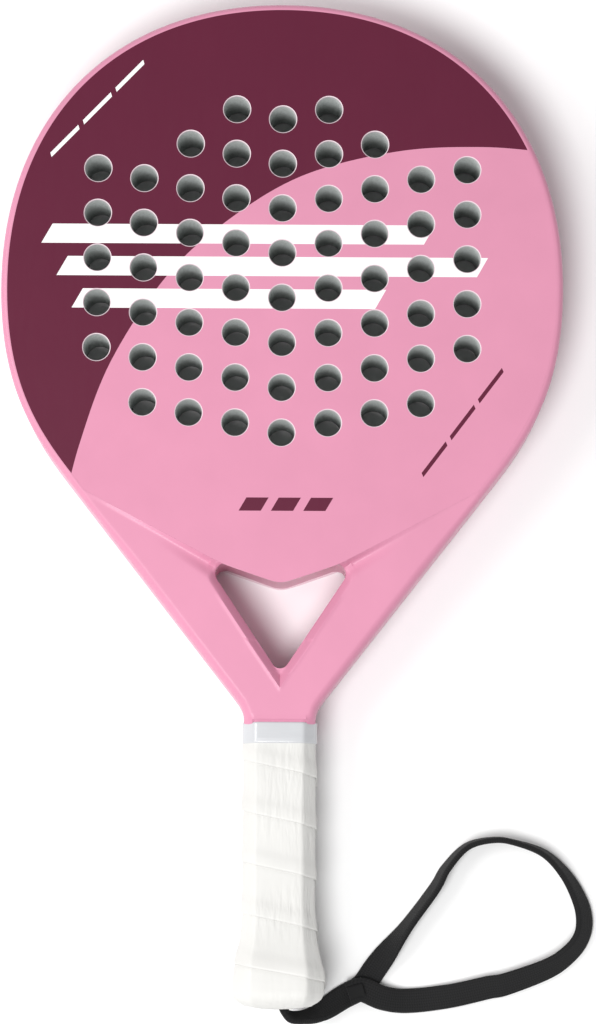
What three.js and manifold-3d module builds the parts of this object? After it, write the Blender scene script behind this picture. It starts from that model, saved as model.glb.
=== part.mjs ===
// Padel racket lying on its rear face, in millimetres.
// X runs across the racket, Y from the butt to the tip of the head, Z up from the surface it lies on.
// Lengths along the racket are measured from the butt end; the outer group moves the whole to its centre.

import * as THREE from 'three';
import { mergeVertices } from 'three/addons/utils/BufferGeometryUtils.js';
import Module from 'manifold-3d';

const wasm = await Module();
wasm.setup();

// ---------------------------------------------------------------- driving dimensions

const LENGTH = 455;
const THICKNESS = 38;
const MID = THICKNESS / 2;
const GAP = 0.3;

const HEAD_HALF_WIDTH = 127.2;
const WIDEST_Y = 325;
const FLANK = { x: 97.9, y: 238.9, slope: 0.776 };
const NECK_Y = 127.3;
const NECK_HALF_WIDTH = 16.4;
const NECK_HALF_THICKNESS = 15;
const TAPER_START_Y = 232;
const TAPER_END_Y = 131;

const EDGE_ROUND = 2.7;
const FRAME_WIDTH = 12;
const FRAME_WALL = 1.8;
const SKIN = 1;
const SKIN_INSET = 3;
const CREASE_Y = 190;
const CREASE_SLOPE = 0.48;

const THROAT = { slope: 0.72, x: 22.1, y: 182.5, tipRadius: 3, lobeX: 25.6, lobeY: 193, lobeRadius: 3.3, topY: 187.5 };
const BRIDGE_TOP_Y = 207;
const BRIDGE_END_Y = 224;

const HOLE_RADIUS = 6;
const HOLE_SIDES = 12;
const HOLE_PITCH_X = 20.9;
const HOLE_PITCH_Y = 20.5;
const HOLE_CHEVRON = 4.5;
const LOWEST_HOLE_Y = 257.9;
const HOLES_PER_COLUMN = [8, 8, 7, 6, 5];

const GRIP = { halfWidth: 16.5, halfThickness: 14.25, bevel: 5.5, top: 119.1 };
const OVERGRIP_WALL = 0.8;
const BASE_GRIP_WALL = 1.8;
const COLLAR = { bottom: 119.4, top: 127 };
const FLARE_THICKNESS_RATIO = 0.87;
const FLARE = [[119.1, 0], [38, 0.1], [31, 1], [24, 2.4], [18, 3.8], [12, 4.3], [7, 4.3], [3.5, 3.1], [1.6, 1.2]];

const TAIL = { halfWidth: 10.8, halfThickness: 8.7, bottom: 14, top: 135 };
const CAP = { top: 28, endWall: 3.5, chamberHalfWidth: 10.5, chamberHalfHeight: 8 };
const STRAP_SLOT = { halfWidth: 9.5, halfHeight: 7 };
const PIN = { y: 7.6, radius: 1.5, halfLength: 11 };
const STAPLE = { y: 20, legSpacing: 6, wire: 0.9, crownX: 16.1, tipX: 11.5 };

const STRAP = { width: 9, thickness: 3, steps: 76, rollAtPin: -1.07 };

// ---------------------------------------------------------------- solids

function solidFrom(geometry) {
  const plain = new THREE.BufferGeometry();
  plain.setAttribute('position', geometry.getAttribute('position').clone());
  if (geometry.index) plain.setIndex(geometry.index.clone());
  const merged = mergeVertices(plain, 1e-4);
  const vertProperties = new Float32Array(merged.getAttribute('position').array);
  const triVerts = new Uint32Array(merged.index.array);
  return new wasm.Manifold(new wasm.Mesh({ numProp: 3, vertProperties, triVerts }));
}

function geometryFrom(solid) {
  const { vertProperties, triVerts } = solid.getMesh();
  const geometry = new THREE.BufferGeometry();
  geometry.setAttribute('position', new THREE.BufferAttribute(new Float32Array(vertProperties), 3));
  geometry.setIndex(new THREE.BufferAttribute(new Uint32Array(triVerts), 1));
  geometry.computeVertexNormals();
  return geometry;
}

function boxSolid(low, high) {
  const size = high.map((value, axis) => value - low[axis]);
  const box = new THREE.BoxGeometry(...size);
  box.translate(...high.map((value, axis) => (value + low[axis]) / 2));
  return solidFrom(box);
}

function plate(outline, zLow, zHigh) {
  const geometry = new THREE.ExtrudeGeometry(new THREE.Shape(outline), {
    depth: zHigh - zLow,
    bevelEnabled: false,
  });
  geometry.translate(0, 0, zLow);
  return solidFrom(geometry);
}

// A closed solid through rings of equal point count. capPoint gives a ring point's place on its cap.
function loft(rings, capPoint) {
  const count = rings[0].length;
  const vertices = rings.flat().flatMap((point) => point.toArray());
  const triangles = [];
  for (let ring = 0; ring < rings.length - 1; ring++) {
    for (let i = 0; i < count; i++) {
      const a = ring * count + i;
      const b = ring * count + (i + 1) % count;
      triangles.push(a, b, b + count, a, b + count, a + count);
    }
  }
  const last = (rings.length - 1) * count;
  for (const [a, b, c] of THREE.ShapeUtils.triangulateShape(rings[0].map(capPoint), [])) {
    triangles.push(a, c, b);
  }
  for (const [a, b, c] of THREE.ShapeUtils.triangulateShape(rings.at(-1).map(capPoint), [])) {
    triangles.push(last + a, last + b, last + c);
  }
  const geometry = new THREE.BufferGeometry();
  geometry.setAttribute('position', new THREE.Float32BufferAttribute(vertices, 3));
  geometry.setIndex(triangles);
  return solidFrom(geometry);
}

// ---------------------------------------------------------------- outlines seen from above

// Closes a right-hand edge, drawn from top to bottom on the axis, with its mirror image.
function mirrored(path, divisions) {
  const right = path.getPoints(divisions);
  const left = right.filter((point) => point.x > 1e-6).map((point) => new THREE.Vector2(-point.x, point.y));
  return [...right, ...left.reverse()].reverse();
}

// Moves each side of a counter-clockwise outline inwards by the distance.
function inset(outline, distance) {
  const count = outline.length;
  return outline.map((point, i) => {
    const before = point.clone().sub(outline[(i + count - 1) % count]).normalize();
    const after = outline[(i + 1) % count].clone().sub(point).normalize();
    const normal = new THREE.Vector2(-before.y - after.y, before.x + after.x).normalize();
    const miter = Math.max(0.4, normal.dot(new THREE.Vector2(-after.y, after.x)));
    return point.clone().addScaledVector(normal, distance / miter);
  });
}

function headOutline() {
  const { x, y, slope } = FLANK;
  const path = new THREE.Path();
  path.moveTo(0, LENGTH);
  path.bezierCurveTo(77.4, LENGTH, HEAD_HALF_WIDTH, WIDEST_Y + 78, HEAD_HALF_WIDTH, WIDEST_Y);
  path.bezierCurveTo(HEAD_HALF_WIDTH, WIDEST_Y - 43.8, x + 20 * slope, y + 20, x, y);
  path.lineTo(x + slope * (145 - y), 145);
  path.quadraticCurveTo(x + slope * (134.4 - y), 134.4, NECK_HALF_WIDTH, NECK_Y);
  path.lineTo(0, NECK_Y);
  return mirrored(path, 14);
}

function throatSideX(y) {
  return THROAT.x + THROAT.slope * (y - THROAT.y);
}

// The rounded tip that the throat opening and the inside of the frame share, down to the axis.
function addThroatTip(path) {
  const lean = Math.atan(THROAT.slope);
  const sideMeetsAxis = THROAT.y - THROAT.x / THROAT.slope;
  const centreY = sideMeetsAxis + THROAT.tipRadius / Math.sin(lean);
  path.absarc(0, centreY, THROAT.tipRadius, -lean, -Math.PI / 2, true);
}

// The inside edge of the frame tube: round the core, down the bridge's ends and the throat's sides.
function frameInsideOutline() {
  const halfWidth = HEAD_HALF_WIDTH - FRAME_WIDTH;
  const armY = 204;
  const path = new THREE.Path();
  path.moveTo(0, LENGTH - FRAME_WIDTH);
  path.bezierCurveTo(70, LENGTH - FRAME_WIDTH, halfWidth, WIDEST_Y + 72, halfWidth, WIDEST_Y);
  path.bezierCurveTo(halfWidth, WIDEST_Y - 45, throatSideX(armY + 45), armY + 45, throatSideX(armY), armY);
  addThroatTip(path);
  return mirrored(path, 14);
}

function throatOutline() {
  const { lobeX, lobeY, lobeRadius, topY } = THROAT;
  const toLobe = Math.atan2(lobeY - topY, lobeX);
  const tangent = toLobe + Math.asin(lobeRadius / Math.hypot(lobeX, lobeY - topY));
  const path = new THREE.Path();
  path.moveTo(0, topY);
  path.absarc(lobeX, lobeY, lobeRadius, tangent + Math.PI / 2, -Math.atan(THROAT.slope), true);
  addThroatTip(path);
  return mirrored(path, 8);
}

function aboveCrease(drop) {
  const reach = 140;
  const creaseY = CREASE_Y - drop;
  return [
    new THREE.Vector2(0, creaseY),
    new THREE.Vector2(reach, creaseY + CREASE_SLOPE * reach),
    new THREE.Vector2(reach, LENGTH + 10),
    new THREE.Vector2(-reach, LENGTH + 10),
    new THREE.Vector2(-reach, creaseY + CREASE_SLOPE * reach),
  ];
}

// The region above the arched line where the foam core meets the bridge.
function aboveBridge(lift) {
  const reach = 140;
  const archEnd = 60;
  const shape = new THREE.Shape();
  shape.moveTo(-archEnd, BRIDGE_END_Y + lift);
  shape.quadraticCurveTo(0, 2 * BRIDGE_TOP_Y - BRIDGE_END_Y + lift, archEnd, BRIDGE_END_Y + lift);
  shape.lineTo(reach, BRIDGE_END_Y + lift);
  shape.lineTo(reach, LENGTH + 10);
  shape.lineTo(-reach, LENGTH + 10);
  shape.lineTo(-reach, BRIDGE_END_Y + lift);
  return shape.getPoints(8);
}

// ---------------------------------------------------------------- head

// A prism over the racket's width whose top and bottom follow the side profile, tapering to the neck.
function sideProfile(headHalf, neckHalf, taperStart) {
  const reach = 150;
  const stations = [[LENGTH + 10, headHalf], [taperStart, headHalf], [TAPER_END_Y, neckHalf], [NECK_Y - 1, neckHalf]];
  const rings = stations.map(([y, half]) => [
    new THREE.Vector3(-reach, y, MID - half),
    new THREE.Vector3(reach, y, MID - half),
    new THREE.Vector3(reach, y, MID + half),
    new THREE.Vector3(-reach, y, MID + half),
  ]);
  return loft(rings, (point) => new THREE.Vector2(point.x, point.z));
}

function halfThicknessAt(y) {
  const along = THREE.MathUtils.clamp((TAPER_START_Y - y) / (TAPER_START_Y - TAPER_END_Y), 0, 1);
  return THREE.MathUtils.lerp(MID, NECK_HALF_THICKNESS, along);
}

// The head and neck as one rounded-edge plate, before anything is taken out of it.
function outerPlate(outline) {
  const above = [[0, 3.5], [0.35, 1.9], [1.2, 0.7], [EDGE_ROUND, 0], [EDGE_ROUND, -2]];
  const ring = ([depth, drop], side) => inset(outline, depth).map((point) => {
    const height = drop < 0 ? MID - drop : halfThicknessAt(point.y) - drop;
    return new THREE.Vector3(point.x, point.y, MID + side * height);
  });
  const rings = [
    ...above.toReversed().map((level) => ring(level, -1)),
    ...above.map((level) => ring(level, 1)),
  ];
  const rounded = loft(rings, (point) => new THREE.Vector2(point.x, point.y));
  return rounded.intersect(sideProfile(MID, NECK_HALF_THICKNESS, TAPER_START_Y));
}

function frameHollow(outline, insideOutline) {
  const skinDepth = SKIN + GAP;
  const headHalf = MID - skinDepth - FRAME_WALL;
  const levels = [[4.4, headHalf + 1], [4.4, headHalf], [FRAME_WALL, headHalf - 4]];
  const ring = ([depth, half], side) => inset(outline, depth)
    .map((point) => new THREE.Vector3(point.x, point.y, MID + side * half));
  const rings = [
    ...levels.map((level) => ring(level, -1)),
    ...levels.toReversed().map((level) => ring(level, 1)),
  ];
  const halfSeptum = 0.8;
  const tailWall = 1.2;
  const head = loft(rings, (point) => new THREE.Vector2(point.x, point.y))
    .intersect(sideProfile(headHalf, NECK_HALF_THICKNESS - FRAME_WALL - 1, 199));
  const tails = boxSolid(
    [tailWall - TAIL.halfWidth, TAIL.bottom - 1, MID - TAIL.halfThickness + tailWall],
    [TAIL.halfWidth - tailWall, TAIL.top + 3, MID + TAIL.halfThickness - tailWall],
  );
  const septum = boxSolid([-halfSeptum, 0, 0], [halfSeptum, 156, THICKNESS]);
  const kept = plate(inset(insideOutline, -FRAME_WALL), -1, THICKNESS + 1);
  return head.add(tails).subtract(kept).subtract(septum);
}

function skinPocket(outline) {
  const depth = SKIN + GAP;
  const region = aboveCrease(GAP);
  const pocket = inset(outline, SKIN_INSET - GAP);
  const front = plate(pocket, THICKNESS - depth, THICKNESS + 1).intersect(plate(region, 0, THICKNESS + 1));
  const rear = plate(pocket, -1, depth).intersect(plate(region, -1, THICKNESS));
  return front.add(rear);
}

function frameTube(outline, insideOutline) {
  const tails = boxSolid(
    [-TAIL.halfWidth, TAIL.bottom, MID - TAIL.halfThickness],
    [TAIL.halfWidth, TAIL.top, MID + TAIL.halfThickness],
  );
  return outerPlate(outline)
    .add(tails)
    .subtract(plate(insideOutline, -1, THICKNESS + 1))
    .subtract(skinPocket(outline))
    .subtract(frameHollow(outline, insideOutline));
}

function throatBridge(insideOutline) {
  const half = MID - SKIN - 2 * GAP;
  const cornerY = 194;
  return plate(inset(insideOutline, GAP), MID - half, MID + half)
    .subtract(plate(aboveBridge(0), -1, THICKNESS + 1))
    .subtract(plate(throatOutline(), -1, THICKNESS + 1))
    .subtract(boxSolid([-200, 0, -1], [-THROAT.lobeX, cornerY, THICKNESS + 1]))
    .subtract(boxSolid([THROAT.lobeX, 0, -1], [200, cornerY, THICKNESS + 1]))
    .subtract(boxSolid([-200, 0, -1], [200, THROAT.topY - 5, THICKNESS + 1]));
}

function drilledHoles() {
  const drills = [];
  for (let column = -4; column <= 4; column++) {
    const outward = Math.abs(column);
    const firstRow = outward === 4 ? 1 : 0;
    for (let row = firstRow; row < firstRow + HOLES_PER_COLUMN[outward]; row++) {
      const drill = new THREE.CylinderGeometry(HOLE_RADIUS, HOLE_RADIUS, THICKNESS + 2, HOLE_SIDES);
      drill.rotateX(Math.PI / 2);
      drill.translate(
        column * HOLE_PITCH_X,
        LOWEST_HOLE_Y + outward * HOLE_CHEVRON + row * HOLE_PITCH_Y,
        MID,
      );
      drills.push(solidFrom(drill));
    }
  }
  return wasm.Manifold.union(drills);
}

function foamCore(insideOutline, holes) {
  const depth = SKIN + GAP;
  return plate(inset(insideOutline, GAP), depth, THICKNESS - depth)
    .intersect(plate(aboveBridge(GAP), 0, THICKNESS))
    .subtract(holes);
}

function faceSkin(outline, holes, zLow) {
  return plate(inset(outline, SKIN_INSET), zLow, zLow + SKIN)
    .intersect(plate(aboveCrease(0), -1, THICKNESS + 1))
    .subtract(holes);
}

// ---------------------------------------------------------------- handle

function octagon(y, halfWidth, halfThickness, bevel) {
  const quarter = [[halfWidth, halfThickness - bevel], [halfWidth - bevel, halfThickness]];
  const corners = [
    ...quarter,
    ...quarter.toReversed().map(([x, z]) => [-x, z]),
    ...quarter.map(([x, z]) => [-x, -z]),
    ...quarter.toReversed().map(([x, z]) => [x, -z]),
  ];
  return corners.map(([x, z]) => new THREE.Vector3(x, y, MID + z));
}

// An eight-sided bar with the grip's outline less the depth; stations are [y, flare].
function handleBar(stations, depth) {
  const bevelShrink = 2 - Math.SQRT2;
  const rings = stations.map(([y, flare]) => octagon(
    y,
    GRIP.halfWidth + flare - depth,
    GRIP.halfThickness + flare * FLARE_THICKNESS_RATIO - depth,
    GRIP.bevel + flare / 2 - depth * bevelShrink,
  ));
  return loft(rings, (point) => new THREE.Vector2(point.x, point.z));
}

function sleeve(stations, depth, wall) {
  const [topY, topFlare] = stations[0];
  const [bottomY, bottomFlare] = stations.at(-1);
  const bore = [[topY + 1, topFlare], ...stations, [bottomY - 1, bottomFlare]];
  return handleBar(stations, depth).subtract(handleBar(bore, depth + wall));
}

const BASE_GRIP_DEPTH = OVERGRIP_WALL + GAP;
const CAP_DEPTH = BASE_GRIP_DEPTH + BASE_GRIP_WALL + GAP;

function overgrip() {
  return sleeve(FLARE, 0, OVERGRIP_WALL);
}

function baseGrip() {
  const stations = FLARE.filter(([y]) => y > 2);
  return sleeve(stations, BASE_GRIP_DEPTH, BASE_GRIP_WALL);
}

function gripCollar() {
  return sleeve([[COLLAR.top, 0.1], [COLLAR.bottom, 0.1]], 0, 1.6);
}

function staple(side, clearance) {
  const { y, legSpacing, wire, crownX, tipX } = STAPLE;
  const half = wire / 2 + clearance;
  const outside = crownX + (clearance > 0 ? 5 : 0);
  const block = (xLow, xHigh, yLow, yHigh) => boxSolid(
    [Math.min(side * xLow, side * xHigh), yLow, MID - half],
    [Math.max(side * xLow, side * xHigh), yHigh, MID + half],
  );
  const low = y - legSpacing / 2;
  const high = y + legSpacing / 2;
  return block(crownX - wire - clearance, outside, low - half, high + half)
    .add(block(tipX - clearance, crownX - wire / 2, low - half, low + half))
    .add(block(tipX - clearance, crownX - wire / 2, high - half, high + half));
}

function handleFoam() {
  const bar = handleBar([[GRIP.top, 0], [TAIL.bottom, 0]], CAP_DEPTH);
  const tailPocket = boxSolid(
    [-TAIL.halfWidth - GAP, 0, MID - TAIL.halfThickness - GAP],
    [TAIL.halfWidth + GAP, LENGTH, MID + TAIL.halfThickness + GAP],
  );
  return bar.subtract(tailPocket).subtract(staple(1, GAP)).subtract(staple(-1, GAP));
}

function pinCylinder(radius, halfLength) {
  const cylinder = new THREE.CylinderGeometry(radius, radius, 2 * halfLength, 12);
  cylinder.rotateX(Math.PI / 2);
  cylinder.translate(0, PIN.y, MID);
  return solidFrom(cylinder);
}

function buttCap() {
  const shaped = [[CAP.top, 1.6], ...FLARE.filter(([y]) => y < CAP.top && y > 2), [1.2, 1.2], [0, -0.3]];
  const socket = handleBar([[CAP.top + 1, 0], [TAIL.bottom - GAP, 0]], CAP_DEPTH - GAP);
  const chamber = boxSolid(
    [-CAP.chamberHalfWidth, CAP.endWall, MID - CAP.chamberHalfHeight],
    [CAP.chamberHalfWidth, TAIL.bottom, MID + CAP.chamberHalfHeight],
  );
  const slot = boxSolid(
    [-STRAP_SLOT.halfWidth, -1, MID - STRAP_SLOT.halfHeight],
    [STRAP_SLOT.halfWidth, CAP.endWall + 1, MID + STRAP_SLOT.halfHeight],
  );
  return handleBar(shaped, CAP_DEPTH)
    .subtract(socket)
    .subtract(chamber)
    .subtract(slot)
    .subtract(pinCylinder(PIN.radius + GAP, PIN.halfLength + GAP))
    .subtract(staple(1, GAP))
    .subtract(staple(-1, GAP));
}

// ---------------------------------------------------------------- wrist strap

// Route of the webbing's centre line: out of the butt, down to the surface, round the loop and back.
const STRAP_ROUTE = [
  [1.5, 3.5, 19],
  [2.8, 0, 18.8],
  [5.6, -3.9, 16.2],
  [10.9, -5.4, 11],
  [16, -3.4, 6.2],
  [21.5, 0.6, 3.2],
  [29.1, 5.6, 1.8],
  [37.7, 10.6, 1.75],
  [44.6, 20.1, 1.75],
  [56.2, 35.6, 1.75],
  [70.1, 54.4, 1.75],
  [75.5, 63.8, 1.75],
  [84.9, 73.6, 1.75],
  [96.9, 76.7, 1.75],
  [107.2, 75.4, 1.75],
  [120.1, 70.6, 1.75],
  [129.9, 60.8, 1.75],
  [136.1, 49.3, 1.75],
  [138, 40.7, 1.75],
  [136.8, 33.4, 1.75],
  [132.1, 26.6, 1.75],
  [122.2, 19.3, 1.75],
  [102.9, 12, 1.75],
  [94.4, 10.3, 1.75],
  [77.2, 6.4, 1.75],
  [58.4, 4.2, 2.2],
  [47.2, 5.4, 4.6],
  [37.8, 9, 5.4],
  [31.5, 7.2, 5.5],
];

function strapCurve() {
  return new THREE.CatmullRomCurve3(STRAP_ROUTE.map((point) => new THREE.Vector3(...point)));
}

// The roll at the pin stands the webbing nearly on edge there; it then settles flat on the surface.
function wristStrap() {
  const halfWidth = STRAP.width / 2;
  const halfThickness = STRAP.thickness / 2;
  const corner = 0.8;
  const quarter = [[halfThickness, halfWidth - corner], [halfThickness - corner, halfWidth]];
  const corners = [
    ...quarter,
    ...quarter.toReversed().map(([x, y]) => [-x, y]),
    ...quarter.map(([x, y]) => [-x, -y]),
    ...quarter.toReversed().map(([x, y]) => [x, -y]),
  ];
  const centre = new THREE.Vector2();
  const section = corners.map(([x, y]) => new THREE.Vector2(x, y).rotateAround(centre, STRAP.rollAtPin));
  return new THREE.ExtrudeGeometry(new THREE.Shape(section), { steps: STRAP.steps, extrudePath: strapCurve() });
}

// The end of the webbing folded round the pin and sewn shut.
function strapAnchorLoop() {
  const inner = PIN.radius + GAP;
  const outer = inner + 1.8;
  const halfHeight = 5.2;
  const profile = [[inner, -halfHeight], [outer, -halfHeight], [outer, halfHeight], [inner, halfHeight]];
  const ring = new THREE.LatheGeometry([...profile, profile[0]].map((pair) => new THREE.Vector2(...pair)), 16);
  ring.rotateX(Math.PI / 2);
  ring.translate(0, PIN.y, MID);
  return ring;
}

// The block of stitching that holds the webbing's free end down on the strand.
function strapBartack() {
  const block = new THREE.BoxGeometry(7, 5.4, 0.7);
  block.rotateZ(0.28);
  block.translate(35, 8.3, 7.9);
  return block;
}

// ---------------------------------------------------------------- assembly

const pinkPaint = new THREE.MeshStandardMaterial({ color: 0xefa3bf, roughness: 0.25, metalness: 0 });
const facePaint = new THREE.MeshStandardMaterial({ color: 0xefa3bf, roughness: 0.22, metalness: 0 });
const evaFoam = new THREE.MeshStandardMaterial({ color: 0x8f9092, roughness: 0.9, metalness: 0 });
const handleCoreFoam = new THREE.MeshStandardMaterial({ color: 0xd8c9a4, roughness: 0.9, metalness: 0 });
const capPlastic = new THREE.MeshStandardMaterial({ color: 0x26262a, roughness: 0.5, metalness: 0 });
const steel = new THREE.MeshStandardMaterial({ color: 0xb8babd, roughness: 0.3, metalness: 1 });
const gripFoam = new THREE.MeshStandardMaterial({ color: 0x1d1d1f, roughness: 0.8, metalness: 0 });
const gripTape = new THREE.MeshStandardMaterial({ color: 0xf6f5f2, roughness: 0.55, metalness: 0 });
const collarTape = new THREE.MeshStandardMaterial({ color: 0xe3e3e4, roughness: 0.2, metalness: 0 });
const webbing = new THREE.MeshStandardMaterial({ color: 0x282828, roughness: 0.85, metalness: 0 });
const thread = new THREE.MeshStandardMaterial({ color: 0x1c1c1c, roughness: 0.7, metalness: 0 });

function part(name, geometry, material) {
  const mesh = new THREE.Mesh(geometry, material);
  mesh.name = name;
  return mesh;
}

function buildRacket() {
  const outline = headOutline();
  const insideOutline = frameInsideOutline();
  const holes = drilledHoles();
  const racket = new THREE.Group();
  racket.add(
    part('frame_tube', geometryFrom(frameTube(outline, insideOutline)), pinkPaint),
    part('throat_bridge', geometryFrom(throatBridge(insideOutline)), pinkPaint),
    part('foam_core', geometryFrom(foamCore(insideOutline, holes)), evaFoam),
    part('front_face', geometryFrom(faceSkin(outline, holes, THICKNESS - SKIN)), facePaint),
    part('rear_face', geometryFrom(faceSkin(outline, holes, 0)), facePaint),
    part('handle_foam', geometryFrom(handleFoam()), handleCoreFoam),
    part('butt_cap', geometryFrom(buttCap()), capPlastic),
    part('cap_staple_right', geometryFrom(staple(1, 0)), steel),
    part('cap_staple_left', geometryFrom(staple(-1, 0)), steel),
    part('strap_pin', geometryFrom(pinCylinder(PIN.radius, PIN.halfLength)), steel),
    part('base_grip', geometryFrom(baseGrip()), gripFoam),
    part('overgrip', geometryFrom(overgrip()), gripTape),
    part('grip_collar', geometryFrom(gripCollar()), collarTape),
  );
  return racket;
}

function buildStrap() {
  const strap = new THREE.Group();
  strap.add(
    part('wrist_strap', wristStrap(), webbing),
    part('strap_anchor_loop', strapAnchorLoop(), webbing),
    part('strap_bartack', strapBartack(), thread),
  );
  return strap;
}

const padelRacket = new THREE.Group();
padelRacket.add(buildRacket(), buildStrap());
padelRacket.position.y = -LENGTH / 2;

export default padelRacket;
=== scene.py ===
import math

import bmesh
import bpy
import numpy as np
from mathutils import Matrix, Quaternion, Vector, noise
from mathutils.geometry import delaunay_2d_cdt


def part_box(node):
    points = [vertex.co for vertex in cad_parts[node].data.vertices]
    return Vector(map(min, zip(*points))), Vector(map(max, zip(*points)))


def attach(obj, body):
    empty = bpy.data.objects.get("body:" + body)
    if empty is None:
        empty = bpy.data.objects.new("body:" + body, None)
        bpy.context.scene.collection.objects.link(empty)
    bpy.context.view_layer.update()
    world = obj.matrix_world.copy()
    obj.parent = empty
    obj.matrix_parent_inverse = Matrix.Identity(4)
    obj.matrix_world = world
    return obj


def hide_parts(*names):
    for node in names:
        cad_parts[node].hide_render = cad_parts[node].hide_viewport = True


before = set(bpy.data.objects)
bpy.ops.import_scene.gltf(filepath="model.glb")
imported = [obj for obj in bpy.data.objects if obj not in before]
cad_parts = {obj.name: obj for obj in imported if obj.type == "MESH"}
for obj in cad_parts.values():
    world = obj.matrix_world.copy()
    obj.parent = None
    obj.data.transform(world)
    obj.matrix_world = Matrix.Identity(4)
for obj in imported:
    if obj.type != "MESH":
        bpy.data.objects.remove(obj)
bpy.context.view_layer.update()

# Lengths are in metres. Outlines are drawn with y measured from the butt end and x from the racket's axis,
# and heights from the middle plane of the racket; place() turns them into the row frame.
butt_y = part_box("butt_cap")[0][1]
tip_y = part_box("frame_tube")[1][1]
face_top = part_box("front_face")[1][2]
LENGTH = tip_y - butt_y
HALF_THICKNESS = (face_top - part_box("rear_face")[0][2]) / 2
MIDDLE_Z = face_top - HALF_THICKNESS
HEAD_HALF_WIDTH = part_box("frame_tube")[1][0]


def place(x, y, height):
    return Vector((x, butt_y + y, MIDDLE_Z + height))


# ---------------------------------------------------------------- camera, floor and light


def aim(thing, target):
    direction = Vector(target) - thing.location
    thing.rotation_mode = "QUATERNION"
    thing.rotation_quaternion = direction.to_track_quat("-Z", "Y")


def make_camera():
    lens_data = bpy.data.cameras.new("camera")
    lens_data.sensor_width = 36
    lens_data.lens = 141
    lens_data.clip_start = 0.1
    camera = bpy.data.objects.new("camera", lens_data)
    bpy.context.scene.collection.objects.link(camera)
    centre = Vector((0.0077, butt_y + 0.222, face_top))
    tilt = math.radians(6.5)
    distance = 1.8
    camera.location = centre + distance * Vector((0, -math.sin(tilt), math.cos(tilt)))
    aim(camera, centre)
    roll = math.radians(0.3)
    camera.rotation_quaternion = camera.rotation_quaternion @ Quaternion((0, 0, 1), roll)
    bpy.context.scene.camera = camera


def make_area_light(name, location, target, size, power, colour):
    light_data = bpy.data.lights.new(name, "AREA")
    light_data.shape = "DISK"
    light_data.size = size
    light_data.energy = power
    light_data.color = colour
    light = bpy.data.objects.new(name, light_data)
    light.location = location
    bpy.context.scene.collection.objects.link(light)
    aim(light, target)


def make_floor():
    half = 3.0
    mesh = bpy.data.meshes.new("floor")
    corners = [(-half, -half, 0), (half, -half, 0), (half, half, 0), (-half, half, 0)]
    mesh.from_pydata(corners, [], [(0, 1, 2, 3)])
    floor = bpy.data.objects.new("floor", mesh)
    bpy.context.scene.collection.objects.link(floor)
    paper = bpy.data.materials.new("floor_paper")
    paper.use_nodes = True
    shader = paper.node_tree.nodes["Principled BSDF"]
    shader.inputs["Base Color"].default_value = (0.93, 0.93, 0.93, 1)
    shader.inputs["Roughness"].default_value = 0.9
    mesh.materials.append(paper)


def make_studio():
    scene = bpy.context.scene
    scene.view_settings.view_transform = "Standard"
    world = bpy.data.worlds.new("studio")
    world.use_nodes = True
    background = world.node_tree.nodes["Background"]
    background.inputs["Color"].default_value = (1, 1, 1, 1)
    background.inputs["Strength"].default_value = 0.42
    scene.world = world
    centre = (0, 0, 0.02)
    make_area_light("key_softbox", (-1.3, 0.1, 1.25), centre, 1.1, 14.5, (1, 0.99, 0.98))
    make_area_light("front_softbox", (-0.35, -0.75, 1.8), centre, 0.9, 28, (1, 1, 1))


make_camera()
make_floor()
make_studio()


# ---------------------------------------------------------------- mesh helpers


def add_object(name, mesh, materials, body, replaced=()):
    for material in materials:
        mesh.materials.append(material)
    piece = bpy.data.objects.new(name, mesh)
    bpy.context.scene.collection.objects.link(piece)
    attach(piece, body)
    if replaced:
        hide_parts(*replaced)
    return piece


def smooth_mesh(name, points, faces, sharp_degrees=35):
    mesh = bpy.data.meshes.new(name)
    mesh.from_pydata([tuple(point) for point in points], [], faces)
    mesh.validate()
    mesh.shade_smooth()
    mesh.set_sharp_from_angle(angle=math.radians(sharp_degrees))
    return mesh


def face_outwards(mesh):
    """Turns all faces over if the closed mesh is inside out."""
    volume = 0.0
    for polygon in mesh.polygons:
        corners = [mesh.vertices[index].co for index in polygon.vertices]
        for i in range(1, len(corners) - 1):
            volume += corners[0].dot(corners[i].cross(corners[i + 1]))
    if volume < 0:
        mesh.flip_normals()
    return mesh


def swept_faces(rings, count):
    """Quads between rings of count points each, and a closing face at either end."""
    faces = []
    for ring in range(rings - 1):
        for i in range(count):
            a = ring * count + i
            b = ring * count + (i + 1) % count
            faces.append((a, b, b + count, a + count))
    last = (rings - 1) * count
    faces.append(tuple(reversed(range(count))))
    faces.append(tuple(range(last, last + count)))
    return faces


def store_values(mesh, name, values):
    attribute = mesh.attributes.new(name, "FLOAT", "POINT")
    attribute.data.foreach_set("value", values)


# ---------------------------------------------------------------- outlines


def bezier(start, first, second, end, steps):
    points = []
    for i in range(1, steps + 1):
        t = i / steps
        weights = ((1 - t) ** 3, 3 * (1 - t) ** 2 * t, 3 * (1 - t) * t * t, t ** 3)
        controls = (start, first, second, end)
        points.append(tuple(sum(w * c[axis] for w, c in zip(weights, controls)) for axis in (0, 1)))
    return points


def arc(centre, radius, start, end, steps):
    """Points on a circle from the start angle to the end angle, in radians."""
    angles = [start + (end - start) * i / steps for i in range(steps + 1)]
    return [(centre[0] + radius * math.cos(a), centre[1] + radius * math.sin(a)) for a in angles]


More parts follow.
